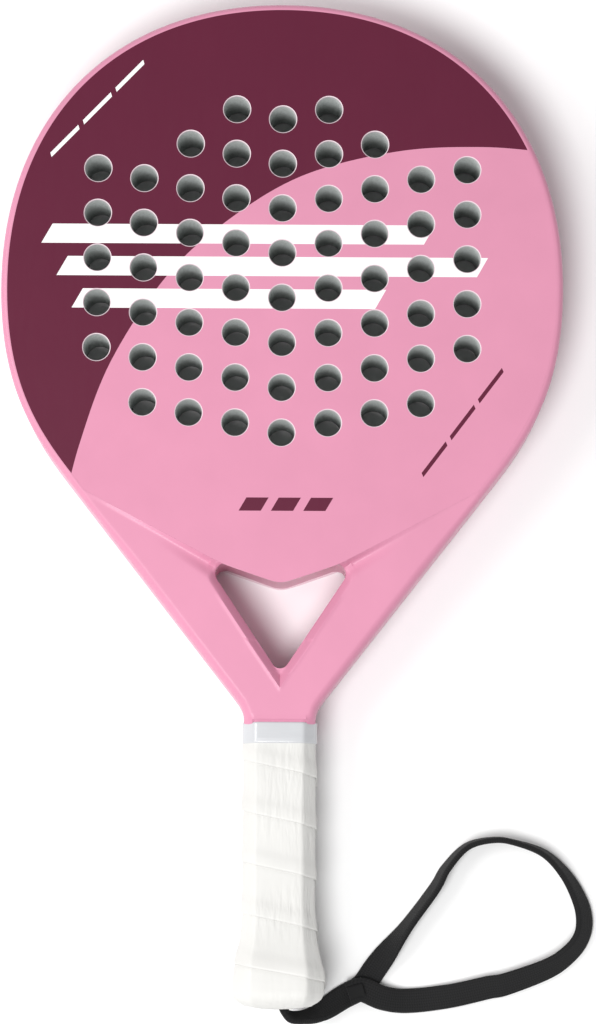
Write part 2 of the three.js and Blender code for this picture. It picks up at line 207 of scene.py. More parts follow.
def catmull(points, steps):
    """A smooth curve through the points, of any dimension."""
    points = [np.array(p, float) for p in points]
    padded = [2 * points[0] - points[1], *points, 2 * points[-1] - points[-2]]
    curve = []
    for before, start, end, after in zip(padded, padded[1:], padded[2:], padded[3:]):
        for i in range(steps):
            t = i / steps
            curve.append(0.5 * (
                2 * start
                + (end - before) * t
                + (2 * before - 5 * start + 4 * end - after) * t * t
                + (3 * start - before - 3 * end + after) * t ** 3
            ))
    curve.append(points[-1])
    return np.array(curve)


def mirrored(right_side):
    """Closes a right-hand edge, listed from top to bottom, into a counter-clockwise outline."""
    left_side = [(-x, y) for x, y in right_side if x > 1e-9]
    return np.array([*right_side, *reversed(left_side)][::-1])


def resampled(outline, spacing):
    """The closed outline with its points evenly spaced."""
    closed = np.vstack([outline, outline[:1]])
    along = np.concatenate([[0], np.cumsum(np.linalg.norm(np.diff(closed, axis=0), axis=1))])
    count = max(8, round(along[-1] / spacing))
    wanted = np.linspace(0, along[-1], count, endpoint=False)
    return np.stack([np.interp(wanted, along, closed[:, axis]) for axis in (0, 1)], axis=1)


def inset(outline, distance):
    """Moves a counter-clockwise outline inwards. distance is one number or one for each point."""
    before = outline - np.roll(outline, 1, axis=0)
    after = np.roll(outline, -1, axis=0) - outline
    before /= np.linalg.norm(before, axis=1)[:, None]
    after /= np.linalg.norm(after, axis=1)[:, None]
    normal = np.stack([-before[:, 1] - after[:, 1], before[:, 0] + after[:, 0]], axis=1)
    normal /= np.linalg.norm(normal, axis=1)[:, None]
    miter = np.maximum(0.5, (normal * np.stack([-after[:, 1], after[:, 0]], axis=1)).sum(axis=1))
    return outline + normal * (np.broadcast_to(distance, len(outline)) / miter)[:, None]


def distance_to(points, outline):
    """Each point's distance to the closed outline's nearest side."""
    ends = np.roll(outline, -1, axis=0)
    sides = ends - outline
    lengths = (sides ** 2).sum(axis=1)
    best = np.full(len(points), np.inf)
    for start, side, length in zip(outline, sides, lengths):
        offset = points - start
        along = np.clip((offset @ side) / max(length, 1e-18), 0, 1)
        best = np.minimum(best, np.linalg.norm(offset - along[:, None] * side, axis=1))
    return best


def inside(points, outline):
    """Which points lie inside the closed outline."""
    result = np.zeros(len(points), bool)
    ends = np.roll(outline, -1, axis=0)
    for (x0, y0), (x1, y1) in zip(outline, ends):
        crosses = (y0 > points[:, 1]) != (y1 > points[:, 1])
        if crosses.any():
            x = x0 + (points[:, 1] - y0) * (x1 - x0) / ((y1 - y0) or 1e-18)
            result ^= crosses & (points[:, 0] < x)
    return result


FLANK_X, FLANK_Y, FLANK_SLOPE = 0.0979, 0.2389, 0.776
WIDEST_Y = 0.325
FLANK_END_Y = 0.139
NECK_TOP_Y = 0.129
NECK_END_Y = 0.1215
NECK_HALF_WIDTH = 0.0161


def flank_x(y):
    """The half width at y on the straight flank between the head and the neck."""
    return FLANK_X + FLANK_SLOPE * (y - FLANK_Y)


def head_outline():
    """The racket's outline, from the top of the head down to the end of the painted neck."""
    width = HEAD_HALF_WIDTH
    side = [(0, LENGTH)]
    side += bezier(side[-1], (0.0774, LENGTH), (width, WIDEST_Y + 0.078), (width, WIDEST_Y), 60)
    lower_end = (FLANK_X, FLANK_Y)
    lower_aim = (FLANK_X + 0.02 * FLANK_SLOPE, FLANK_Y + 0.02)
    side += bezier(side[-1], (width, WIDEST_Y - 0.0438), lower_aim, lower_end, 40)
    side.append((flank_x(FLANK_END_Y), FLANK_END_Y))
    neck_start = (NECK_HALF_WIDTH, NECK_TOP_Y)
    side += bezier(side[-1], (flank_x(0.1355), 0.1355), (NECK_HALF_WIDTH, 0.133), neck_start, 12)
    side += [(NECK_HALF_WIDTH, NECK_END_Y), (0, NECK_END_Y)]
    return resampled(mirrored(side), 0.0026)


THROAT_SLOPE = 0.69
THROAT_SIDE_X, THROAT_SIDE_Y = 0.0230, 0.1825
THROAT_TIP_RADIUS = 0.0038
THROAT_LEAN = math.atan(THROAT_SLOPE)
SHARP_TIP_Y = THROAT_SIDE_Y - THROAT_SIDE_X / THROAT_SLOPE
THROAT_TIP = (0, SHARP_TIP_Y + THROAT_TIP_RADIUS / math.sin(THROAT_LEAN))
THROAT_LOBE = (0.0250, 0.1945)
THROAT_LOBE_RADIUS = 0.0044
THROAT_TOP = [(0, 0.1909), (0.0025, 0.1911), (0.0065, 0.1925)]
THROAT_TOP_RISE = math.radians(20)


def throat_side_x(y):
    """The opening's half width at y, along its straight side."""
    return THROAT_SIDE_X + THROAT_SLOPE * (y - THROAT_SIDE_Y)


def throat_outline():
    """The throat opening: a blunt V on top, a rounded upper corner on each side and a rounded tip."""
    side = list(THROAT_TOP)
    side += arc(THROAT_LOBE, THROAT_LOBE_RADIUS, math.pi / 2 + THROAT_TOP_RISE, -THROAT_LEAN, 16)
    side += arc(THROAT_TIP, THROAT_TIP_RADIUS, -THROAT_LEAN, -math.pi / 2, 8)
    return resampled(mirrored(side), 0.0011)


FRAME_WIDTH = 0.012
BRIDGE_ARCH_END = (0.060, 0.224)
BRIDGE_ARCH_Y = 0.207


def core_outline():
    """Where the core meets the frame tube and the bridge, under the skins."""
    width = HEAD_HALF_WIDTH - FRAME_WIDTH
    top = LENGTH - FRAME_WIDTH
    side = [(0, top)]
    side += bezier(side[-1], (0.070, top), (width, WIDEST_Y + 0.072), (width, WIDEST_Y), 40)
    side += bezier(side[-1], (width, WIDEST_Y - 0.045), (0.085, 0.255), BRIDGE_ARCH_END, 24)
    side += bezier(side[-1], (0.030, BRIDGE_ARCH_Y), (0.015, BRIDGE_ARCH_Y - 0.001), (0, BRIDGE_ARCH_Y), 12)
    return resampled(mirrored(side), 0.004)


CREASE_Y = 0.1902
CREASE_SLOPE = 0.35
CREASE_OUTER_SLOPE = 0.53
CREASE_BEND_X = 0.024
CREASE_ROUND = 0.0025
CREASE_POINTS = 90
SKIN_INSET = 0.003
SKIN_CORNER_GAP = 0.0015


def crease_y(x):
    """The lower edge of the flat face, a blunt V that steepens beyond the throat opening."""
    outward = np.sqrt(np.square(x) + CREASE_ROUND ** 2) - CREASE_ROUND
    past_bend = outward - CREASE_BEND_X
    steeper = (past_bend + np.sqrt(np.square(past_bend) + CREASE_ROUND ** 2)) / 2
    return CREASE_Y + CREASE_SLOPE * outward + (CREASE_OUTER_SLOPE - CREASE_SLOPE) * steeper


def skin_outline(head, depth):
    """The flat face: the head's outline less the rounded edge, down to the crease."""
    edge = inset(head, depth)
    kept = edge[edge[:, 1] > crease_y(edge[:, 0]) + SKIN_CORNER_GAP]
    first = int(np.argmax(np.linalg.norm(np.roll(kept, 1, axis=0) - kept, axis=1)))
    kept = np.roll(kept, -first, axis=0)
    crease_end = float(kept[0][0])
    xs = np.linspace(-crease_end, crease_end, CREASE_POINTS)[1:-1]
    if kept[-1][0] > 0:
        xs = xs[::-1]
    crease = np.stack([xs, crease_y(xs)], axis=1)
    return np.vstack([kept, crease])


HOLE_RADIUS = 0.006
HOLE_PITCH_X = 0.0209
HOLE_PITCH_Y = 0.0205
HOLE_CHEVRON = 0.0045
LOWEST_HOLE_Y = 0.2579
HOLES_PER_COLUMN = [8, 8, 7, 6, 5]


def hole_centres():
    """Nine columns of holes, each column further from the axis standing higher."""
    centres = []
    for column in range(-4, 5):
        outward = abs(column)
        first_row = 1 if outward == 4 else 0
        for row in range(first_row, first_row + HOLES_PER_COLUMN[outward]):
            y = LOWEST_HOLE_Y + outward * HOLE_CHEVRON + row * HOLE_PITCH_Y
            centres.append((column * HOLE_PITCH_X, y))
    return np.array(centres)


# ---------------------------------------------------------------- flat sheets turned into solids


def triangulated(loops, lines=(), extra=()):
    """Triangles over closed loops, open lines and loose points. Returns points and triangles."""
    points, edges = [], []
    for loop in loops:
        start = len(points)
        points += [tuple(p) for p in loop]
        edges += [(start + i, start + (i + 1) % len(loop)) for i in range(len(loop))]
    for line in lines:
        start = len(points)
        points += [tuple(p) for p in line]
        edges += [(start + i, start + i + 1) for i in range(len(line) - 1)]
    points += [tuple(p) for p in extra]
    scale = 1000
    vectors = [Vector((x * scale, y * scale)) for x, y in points]
    result = delaunay_2d_cdt(vectors, edges, [], 0, 1e-4)
    placed = np.array([tuple(v) for v in result[0]]) / scale
    return placed, np.array(result[2])


def kept_triangles(points, triangles, keep):
    """The triangles whose middles pass the test, with unused points dropped."""
    middles = points[triangles].mean(axis=1)
    triangles = triangles[keep(middles)]
    used = np.unique(triangles)
    renumber = np.full(len(points), -1)
    renumber[used] = np.arange(len(used))
    return points[used], renumber[triangles]


def solid_between(name, points, triangles, top, bottom, top_slots, wall_slot, bottom_slots=None, sharp=35):
    """A closed mesh between two height fields over the same triangles."""
    count = len(points)
    vertices = [place(x, y, z) for (x, y), z in zip(points, top)]
    vertices += [place(x, y, z) for (x, y), z in zip(points, bottom)]
    faces = [tuple(t) for t in triangles.tolist()]
    faces += [(a + count, c + count, b + count) for a, b, c in triangles.tolist()]
    slots = list(top_slots) + list(top_slots if bottom_slots is None else bottom_slots)
    directed = {(a, b) for t in triangles.tolist() for a, b in ((t[0], t[1]), (t[1], t[2]), (t[2], t[0]))}
    for a, b in sorted(directed):
        if (b, a) not in directed:
            faces.append((b, a, a + count, b + count))
            slots.append(wall_slot)
    mesh = bpy.data.meshes.new(name)
    mesh.from_pydata(vertices, [], faces)
    mesh.polygons.foreach_set("material_index", slots)
    face_outwards(mesh)
    mesh.shade_smooth()
    mesh.set_sharp_from_angle(angle=math.radians(sharp))
    return mesh


# ---------------------------------------------------------------- materials


class Nodes:
    """Short names for building a node material."""

    def __init__(self, name):
        self.material = bpy.data.materials.new(name)
        self.material.use_nodes = True
        self.tree = self.material.node_tree
        self.shader = self.tree.nodes["Principled BSDF"]

    def add(self, kind, **values):
        node = self.tree.nodes.new(kind)
        for key, value in values.items():
            if key in node.inputs:
                node.inputs[key].default_value = value
            else:
                setattr(node, key, value)
        return node

    def link(self, source, target):
        self.tree.links.new(source, target)

    def set(self, **values):
        for key, value in values.items():
            self.shader.inputs[key.replace("_", " ")].default_value = value

    def position(self):
        return self.add("ShaderNodeTexCoord").outputs["Object"]

    def noise(self, scale, detail=3.0, roughness=0.55, stretch=(1, 1, 1)):
        mapping = self.add("ShaderNodeMapping")
        mapping.inputs["Scale"].default_value = stretch
        self.link(self.position(), mapping.inputs["Vector"])
        texture = self.add("ShaderNodeTexNoise", Scale=scale, Detail=detail, Roughness=roughness)
        self.link(mapping.outputs["Vector"], texture.inputs["Vector"])
        return texture.outputs["Fac"]

    def ramp(self, value, stops):
        ramp = self.add("ShaderNodeValToRGB")
        elements = ramp.color_ramp.elements
        while len(elements) < len(stops):
            elements.new(0.5)
        for element, (place_on_ramp, colour) in zip(elements, stops):
            element.position = place_on_ramp
            element.color = (*colour, 1) if len(colour) == 3 else colour
        self.link(value, ramp.inputs["Fac"])
        return ramp.outputs["Color"]

    def spread(self, value, low, high):
        """Turns a 0 to 1 value into one from low to high."""
        node = self.add("ShaderNodeMapRange")
        node.inputs["To Min"].default_value = low
        node.inputs["To Max"].default_value = high
        self.link(value, node.inputs["Value"])
        return node.outputs["Result"]

    def math(self, operation, first, second):
        node = self.add("ShaderNodeMath", operation=operation)
        for socket, value in zip(node.inputs, (first, second)):
            if isinstance(value, (int, float)):
                socket.default_value = value
            else:
                self.link(value, socket)
        return node.outputs["Value"]

    def bump(self, height, strength, distance, below=None):
        node = self.add("ShaderNodeBump", Strength=strength, Distance=distance)
        self.link(height, node.inputs["Height"])
        if below is not None:
            self.link(below, node.inputs["Normal"])
        return node.outputs["Normal"]

    def attribute(self, name):
        return self.add("ShaderNodeAttribute", attribute_name=name).outputs["Fac"]


def shade(colour, factor):
    return tuple(min(1.0, channel * factor) for channel in colour)


def paint(name, colour, roughness=0.4):
    """Lacquered paint: a faint mottle in the colour, orange peel and fine handling marks in the gloss."""
    nodes = Nodes(name)
    mottle = nodes.ramp(nodes.noise(38, 4), [(0.3, shade(colour, 0.975)), (0.7, shade(colour, 1.02))])
    nodes.link(mottle, nodes.shader.inputs["Base Color"])
    marks = nodes.noise(420, 5, 0.7, stretch=(1, 0.12, 1))
    nodes.link(nodes.spread(marks, roughness - 0.06, roughness + 0.08), nodes.shader.inputs["Roughness"])
    peel = nodes.bump(nodes.noise(260, 2), 0.12, 0.00015)
    grain = nodes.bump(nodes.noise(1600, 2), 0.08, 0.00004, below=peel)
    nodes.link(grain, nodes.shader.inputs["Normal"])
    nodes.set(Coat_Weight=0.12, Coat_Roughness=0.16, Specular_IOR_Level=0.25)
    return nodes.material


def foam(name, colour, cell):
    """Closed-cell foam: small round cells with painted shade at their sunken middles, and a dull, dusty
    surface.
    """
    nodes = Nodes(name)
    cells = nodes.add("ShaderNodeTexVoronoi", Scale=cell)
    nodes.link(nodes.position(), cells.inputs["Vector"])
    distance = cells.outputs["Distance"]
    # Painted shade and highlight: the colour darkens towards each cell's sunken middle and lightens at its
    # raised walls, following the bump.
    tint = nodes.ramp(distance, [(0.0, shade(colour, 0.8)), (0.6, shade(colour, 1.08))])
    nodes.link(tint, nodes.shader.inputs["Base Color"])
    nodes.link(nodes.bump(distance, 0.35, 0.0002), nodes.shader.inputs["Normal"])
    nodes.set(Roughness=0.88, Specular_IOR_Level=0.25)
    return nodes.material


def cut_laminate(name, colour):
    """The cut edge of a skin at a hole: pale resin and fibre with a fine ragged grain."""
    nodes = Nodes(name)
    fibre = nodes.noise(1500, 4, 0.7, stretch=(1, 1, 4))
    tint = nodes.ramp(fibre, [(0.3, shade(colour, 0.86)), (0.75, shade(colour, 1.05))])
    nodes.link(tint, nodes.shader.inputs["Base Color"])
    nodes.link(nodes.bump(fibre, 0.3, 0.0001), nodes.shader.inputs["Normal"])
    nodes.set(Roughness=0.45)
    return nodes.material


def grip_tape(name, colour):
    """Soft polyurethane grip: pebbled fine grain, shallow creases, a little sheen and hand wear."""
    nodes = Nodes(name)
    wear = nodes.ramp(nodes.noise(45, 5), [(0.25, shade(colour, 0.955)), (0.7, colour)])
    nodes.link(wear, nodes.shader.inputs["Base Color"])
    nodes.link(nodes.spread(nodes.noise(60, 4), 0.42, 0.6), nodes.shader.inputs["Roughness"])
    patches = nodes.spread(nodes.ramp(nodes.noise(26, 2), [(0.42, (0, 0, 0)), (0.62, (1, 1, 1))]), 0.15, 1)
    folds = nodes.math("MULTIPLY", nodes.noise(190, 3, 0.5, stretch=(2.4, 0.45, 2.4)), patches)
    creases = nodes.bump(folds, 0.6, 0.0009)
    grain = nodes.bump(nodes.noise(2600, 2), 0.25, 0.00006, below=creases)
    nodes.link(grain, nodes.shader.inputs["Normal"])
    nodes.set(Sheen_Weight=0.12, Sheen_Roughness=0.4, Specular_IOR_Level=0.4)
    return nodes.material


def glossy_tape(name, colour):
    """Stretched vinyl finishing tape: glossy, with faint ripples along the wrap."""
    nodes = Nodes(name)
    tint = nodes.ramp(nodes.noise(70, 3), [(0.3, shade(colour, 0.96)), (0.7, colour)])
    nodes.link(tint, nodes.shader.inputs["Base Color"])
    nodes.link(nodes.spread(nodes.noise(90, 3), 0.12, 0.24), nodes.shader.inputs["Roughness"])
    ripples = nodes.bump(nodes.noise(120, 2, 0.5, stretch=(0.4, 3, 0.4)), 0.3, 0.0006)
    nodes.link(ripples, nodes.shader.inputs["Normal"])
    nodes.set(Coat_Weight=0.4, Coat_Roughness=0.08)
    return nodes.material


def moulded_plastic(name, colour, roughness):
    """Textured moulded plastic with a fine spark-eroded grain, with painted shade in the grain's hollows and
    painted highlight on its peaks.
    """
    nodes = Nodes(name)
    grain = nodes.noise(1200, 3, 0.6)
    # Painted shade and highlight: the colour follows the grain's height, darker where the bump sinks and
    # lighter where it rises.
    tint = nodes.ramp(grain, [(0.3, shade(colour, 0.85)), (0.7, shade(colour, 1.2))])
    nodes.link(tint, nodes.shader.inputs["Base Color"])
    gloss = nodes.spread(nodes.noise(300, 3), roughness - 0.08, roughness + 0.1)
    nodes.link(gloss, nodes.shader.inputs["Roughness"])
    nodes.link(nodes.bump(grain, 0.3, 0.0001), nodes.shader.inputs["Normal"])
    return nodes.material


def drawn_steel(name, colour):
    """Drawn wire: fine lines along its length, in the gloss and the surface, and painted shade in the colour
    where the lines sink.
    """
    nodes = Nodes(name)
    lines = nodes.noise(900, 3, 0.6, stretch=(1, 1, 0.05))
    # Painted shade: the colour darkens where the drawn lines sink in the bump.
    tint = nodes.ramp(lines, [(0.3, shade(colour, 0.85)), (0.7, colour)])
    nodes.link(tint, nodes.shader.inputs["Base Color"])
    nodes.link(nodes.spread(lines, 0.25, 0.45), nodes.shader.inputs["Roughness"])
    nodes.link(nodes.bump(lines, 0.15, 0.00005), nodes.shader.inputs["Normal"])
    nodes.set(Metallic=1.0)
    return nodes.material


def webbing_weave(name, colour, rib, cords):
    """Woven webbing: ribs across the strap, warp cords along it, and a little fuzz, with painted shade in
    the weave's hollows and painted highlight on its crests.
    """
    nodes = Nodes(name)
    along = nodes.math("MULTIPLY", nodes.attribute("along"), 2 * math.pi / rib)
    across = nodes.math("MULTIPLY", nodes.attribute("across"), math.pi * cords)
    bend = nodes.math("MULTIPLY", nodes.math("SINE", across, 0), 1.2)
    ribs = nodes.math("SINE", nodes.math("ADD", along, bend), 0)
    warp = nodes.math("ABSOLUTE", nodes.math("SINE", across, 0), 0)
    weave = nodes.math("ADD", nodes.math("MULTIPLY", ribs, 0.35), nodes.math("MULTIPLY", warp, 0.65))
    unit = nodes.add("ShaderNodeMapRange")
    unit.inputs["From Min"].default_value = -0.35
    nodes.link(weave, unit.inputs["Value"])
    height = unit.outputs["Result"]
    fuzz = nodes.noise(1800, 3, 0.7)
    # Painted shade and highlight: the colour follows the weave's height, darker in the hollows and lighter
    # on the ribs and cords.
    tint = nodes.ramp(height, [(0.1, shade(colour, 0.62)), (0.8, shade(colour, 1.2))])
    nodes.link(tint, nodes.shader.inputs["Base Color"])
    woven = nodes.bump(height, 0.55, 0.0003)
    nodes.link(nodes.bump(fuzz, 0.2, 0.0001, below=woven), nodes.shader.inputs["Normal"])
    nodes.set(Roughness=0.85, Sheen_Weight=0.05, Sheen_Roughness=0.5, Specular_IOR_Level=0.2)
    return nodes.material


PINK = (0.64, 0.258, 0.38)
MAROON = (0.101, 0.0075, 0.030)
pink_paint = paint("pink_lacquer", PINK)
maroon_paint = paint("maroon_lacquer", MAROON)
white_print = paint("white_print", (0.86, 0.86, 0.85))
laminate_edge = cut_laminate("laminate_edge", (0.80, 0.66, 0.71))
core_foam = foam("grey_eva_foam", (0.58, 0.605, 0.595), 900)
handle_core_foam = foam("moulded_handle_foam", (0.62, 0.52, 0.33), 700)
cap_plastic = moulded_plastic("black_cap_plastic", (0.02, 0.02, 0.022), 0.5)
base_grip_foam = foam("black_base_grip", (0.02, 0.02, 0.021), 1500)
white_grip = grip_tape("white_overgrip", (0.67, 0.665, 0.645))
collar_vinyl = glossy_tape("pale_collar_vinyl", (0.56, 0.57, 0.59))
steel = drawn_steel("drawn_steel", (0.55, 0.55, 0.57))
black_webbing = webbing_weave("black_webbing", (0.013, 0.013, 0.0135), 0.0011, 9)
black_thread = webbing_weave("black_thread", (0.015, 0.015, 0.0155), 0.0006, 2)


# ---------------------------------------------------------------- wrist strap

STRAP_WIDTH = 0.011
STRAP_THICKNESS = 0.0026
STRAP_REST_GAP = 0.0002
# The route in the row frame from the pin in the butt, then round the loop and back onto the strand.
# Each row is x, y from the butt end, z, and how far the webbing is rolled up on its edge, in degrees.
STRAP_ROUTE = [
    (0.0015, 0.0035, 0.019, 80),
    (0.0028, 0, 0.0188, 78),
    (0.0056, -0.0028, 0.0162, 72),
    (0.0109, -0.0034, 0.011, 65),
    (0.016, -0.0024, 0.0062, 50),
    (0.0215, 0.0006, 0.0032, 28),
    (0.0291, 0.0056, 0.0018, 10),
    (0.0377, 0.0106, 0.00175, 0),
    (0.0446, 0.0201, 0.00175, 10),
    (0.0562, 0.0356, 0.00175, 62),
    (0.0701, 0.0544, 0.00175, 70),
    (0.0755, 0.0638, 0.00175, 75),
    (0.0849, 0.0736, 0.00175, 82),
    (0.0969, 0.0767, 0.00175, 86),
    (0.1072, 0.0754, 0.00175, 86),
    (0.1201, 0.0706, 0.00175, 78),
    (0.1299, 0.0608, 0.00175, 66),
    (0.1361, 0.0493, 0.00175, 55),
    (0.138, 0.0407, 0.00175, 50),
    (0.1368, 0.0334, 0.00175, 50),
    (0.1321, 0.0266, 0.00175, 46),
    (0.1222, 0.0193, 0.00175, 38),
    (0.1029, 0.012, 0.00175, 26),
    (0.0944, 0.0103, 0.00175, 20),
    (0.0772, 0.0064, 0.00175, 12),
    (0.0584, 0.0042, 0.0022, 0),
    (0.0472, 0.0054, 0.0046, 0),
    (0.0378, 0.009, 0.0054, 0),
    (0.0315, 0.0072, 0.0055, 0),
]


def ribbon_section(width, thickness):
    """Half-round edged section of the webbing, as (across, up) pairs."""
    radius = thickness / 2
    right = arc((width / 2 - radius, 0), radius, -math.pi / 2, math.pi / 2, 6)
    top = [(x, radius) for x in np.linspace(width / 2 - radius, radius - width / 2, 8)[1:-1]]
    left = arc((radius - width / 2, 0), radius, math.pi / 2, 1.5 * math.pi, 6)
    bottom = [(-x, -radius) for x, _ in top]
    return right + top + left + bottom


def ribbon_mesh(name, rows, width, thickness):
    """A closed ribbon along rows of x, y, z and roll in degrees."""
    route = rows[:, :3]
    tangents = np.gradient(route, axis=0)
    section = ribbon_section(width, thickness)
    vertices, along, across = [], [], []
    travelled = 0.0
    for i, (centre, tangent, roll) in enumerate(zip(route, tangents, np.radians(rows[:, 3]))):
        forward = Vector(tangent).normalized()
        side = forward.cross(Vector((0, 0, 1))).normalized()
        up = side.cross(forward)
        wide = side * math.cos(roll) + up * math.sin(roll)
        thick = up * math.cos(roll) - side * math.sin(roll)
        travelled += float(np.linalg.norm(route[i] - route[i - 1])) if i else 0.0
        for a, b in section:
            vertices.append(Vector(centre) + wide * a + thick * b)
            along.append(travelled)
            across.append(a / width + 0.5)
    mesh = smooth_mesh(name, vertices, swept_faces(len(route), len(section)), 60)
    store_values(mesh, "along", along)
    store_values(mesh, "across", across)
    return face_outwards(mesh)


def make_strap():
    """The webbing, raised where it is rolled so that its lower edge rests on the surface."""
    rows = np.array(STRAP_ROUTE, float)
    rows[:, 1] += butt_y
    fine = catmull(rows, 10)
    roll = np.radians(fine[:, 3])
    resting = STRAP_WIDTH / 2 * np.abs(np.sin(roll)) + STRAP_THICKNESS / 2 * np.abs(np.cos(roll))
    fine[:, 2] = np.maximum(fine[:, 2], resting + STRAP_REST_GAP)
    mesh = ribbon_mesh("wrist_strap_webbing", fine, STRAP_WIDTH, STRAP_THICKNESS)
    strap = add_object("wrist_strap_webbing", mesh, [black_webbing], "strap", ["wrist_strap"])
    length = float(np.linalg.norm(np.diff(fine[:, :3], axis=0), axis=1).sum())
    return strap, fine, length


strap, strap_line, strap_length = make_strap()


# ---------------------------------------------------------------- handle sizes, which the neck also follows

GRIP_HALF_WIDTH = 0.0165
GRIP_HALF_THICKNESS = 0.01425
GRIP_BEVEL = 0.0058
CORNER_RADIUS = 0.0026
CORNER_CUT = 0.586
SHAFT_Y = 0.08
TAPE_THICKNESS = 0.0007
WRAP_PITCH = 0.0227
LOWEST_SEAM_Y = 0.0141
GRIP_TOP_Y = 0.1191
GRIP_BOTTOM_Y = 0.0004
DOME_RISE = 0.0016
DOME_LENGTH = 0.009
COLLAR_TOP_Y = 0.1281


# ---------------------------------------------------------------- head

EDGE_ROUND_WIDTH = 0.0028
EDGE_ROUND_DROP = 0.0035
ARM_ROUND_EXTRA = 0.001
ARM_TOP_Y = 0.226
ARM_BLEND_LENGTH = 0.03
TAPER_START_Y, TAPER_END_Y = 0.232, 0.131
NECK_HALF_THICKNESS = 0.015
SKIN_THICKNESS = 0.001
POCKET_GAP = 0.00003
POCKET_FLOOR_GAP = 0.00005
CORE_EDGE_GAP = 0.0003
CORE_FACE_GAP = 0.00002
CREASE_FALL_LENGTH = 0.0018
TAPE_STEP_LENGTH = 0.0012
TAPE_STEP_DEPTH = 0.0006
SCOOP_DEPTH = 0.0036
SCOOP_LENGTH = 0.038
SCOOP_HALF_WIDTH = 0.0062
SCOOP_ANGLE = math.radians(29)
BEVEL_DEPTH = 0.0032
BEVEL_WIDTH = 0.0034
BEVEL_POWER = 1.25
BEVEL_POINT_TOP_Y = 0.165
BEAD_TOP_Y = 0.188
BEAD_FADE_LENGTH = 0.008
BEAD_RISE = 0.0003
BEAD_WIDTH = 0.0007
# How far across the rounded edge and the bevel their loops of points lie, as shares of the width.
EDGE_STEPS = (0, 0.04, 0.13, 0.27, 0.45, 0.66, 0.86, 1.0)
BEVEL_STEPS = (0, 0.12, 0.3, 0.5, 0.7, 0.88, 1.0, 1.12)
GRID_SPACING = 0.0009
GRID_ROW_SHARE = 0.87
GRID_HALF_WIDTH = 0.098
GRID_TOP_Y = 0.236


def smoothstep(t):
    t = np.clip(t, 0, 1)
    return t * t * (3 - 2 * t)


def taper(y):
    """Half the thickness at y, before edges, bevels and scoops."""
    along = np.clip((TAPER_START_Y - y) / (TAPER_START_Y - TAPER_END_Y), 0, 1)
    return HALF_THICKNESS + (NECK_HALF_THICKNESS - HALF_THICKNESS) * along


def edge_round_width(y):
    """The rounding is wider along the arms than round the head."""
    return EDGE_ROUND_WIDTH + ARM_ROUND_EXTRA * smoothstep((ARM_TOP_Y - y) / ARM_BLEND_LENGTH)


def edge_drop(depth, y):
    """How far the rounded edge falls at that depth in from the outline."""
    width = edge_round_width(y)
    rise = np.clip(1 - depth / width, 0, 1)
    return (EDGE_ROUND_DROP * width / EDGE_ROUND_WIDTH) * (1 - np.sqrt(1 - rise ** 2))


def throat_depth(points, to_throat):
    """How deep the moulding is cut round the throat opening.

    A bevel runs round the opening and on to a point below its tip, with a faint bead beside it.
    Beyond each upper corner a scoop fades out along the arm.
    """
    x, y = np.abs(points[:, 0]), points[:, 1]
    to_side = np.clip((x - throat_side_x(y)) * math.cos(THROAT_LEAN), 0, None)
    to_bevel = np.where(y < BEVEL_POINT_TOP_Y, np.minimum(to_throat, to_side), to_throat)
    bevel = BEVEL_DEPTH * np.clip(1 - to_bevel / BEVEL_WIDTH, 0, 1) ** BEVEL_POWER
    offset_x, offset_y = x - THROAT_LOBE[0], y - THROAT_LOBE[1]
    along = offset_x * math.cos(SCOOP_ANGLE) + offset_y * math.sin(SCOOP_ANGLE)
    beside = np.abs(offset_y * math.cos(SCOOP_ANGLE) - offset_x * math.sin(SCOOP_ANGLE))
    fade = np.clip(1 - along / SCOOP_LENGTH, 0, 1)
    half_width = SCOOP_HALF_WIDTH * (0.5 + 0.5 * fade)
    scoop = SCOOP_DEPTH * fade ** 2 * (1 - smoothstep(beside / half_width))
    scoop[along < 0] = 0
    bead = BEAD_RISE * np.exp(-((to_bevel - BEVEL_WIDTH) / BEAD_WIDTH) ** 2)
    bead *= smoothstep((BEAD_TOP_Y - y) / BEAD_FADE_LENGTH)
    return np.maximum(bevel, scoop) - bead


def shell_height(points, head, throat):
    """The moulded outer surface above the middle plane, stepped down under the collar tape."""
    y = points[:, 1]
    to_edge = distance_to(points, head)
    to_throat = distance_to(points, throat)
    arm = taper(y) - throat_depth(points, to_throat)
    below_crease = (crease_y(points[:, 0]) - y) * math.cos(math.atan(CREASE_OUTER_SLOPE))
    falls = smoothstep(below_crease / CREASE_FALL_LENGTH)
    height = HALF_THICKNESS + (arm - HALF_THICKNESS) * falls - edge_drop(to_edge, y)
    under_tape = smoothstep((COLLAR_TOP_Y + TAPE_STEP_LENGTH - y) / TAPE_STEP_LENGTH)
    past_flat = np.clip(np.abs(points[:, 0]) - GRIP_HALF_WIDTH + GRIP_BEVEL, 0, None)
    tape_height = GRIP_HALF_THICKNESS - past_flat
    return height - under_tape * np.clip(height - tape_height + TAPE_STEP_DEPTH, 0, None)


def bevel_point_loops():
    """Loops along the bevel's lower edges and the valley where its two sides meet."""
    offset = BEVEL_WIDTH / math.cos(THROAT_LEAN)
    edge_x = throat_side_x(BEVEL_POINT_TOP_Y) + offset
    point_y = THROAT_SIDE_Y - (THROAT_SIDE_X + offset) / THROAT_SLOPE
    half = [(0, BEVEL_POINT_TOP_Y), (edge_x, BEVEL_POINT_TOP_Y), (0, point_y)]
    return [resampled([(side * x, y) for x, y in half], GRID_SPACING) for side in (1, -1)]


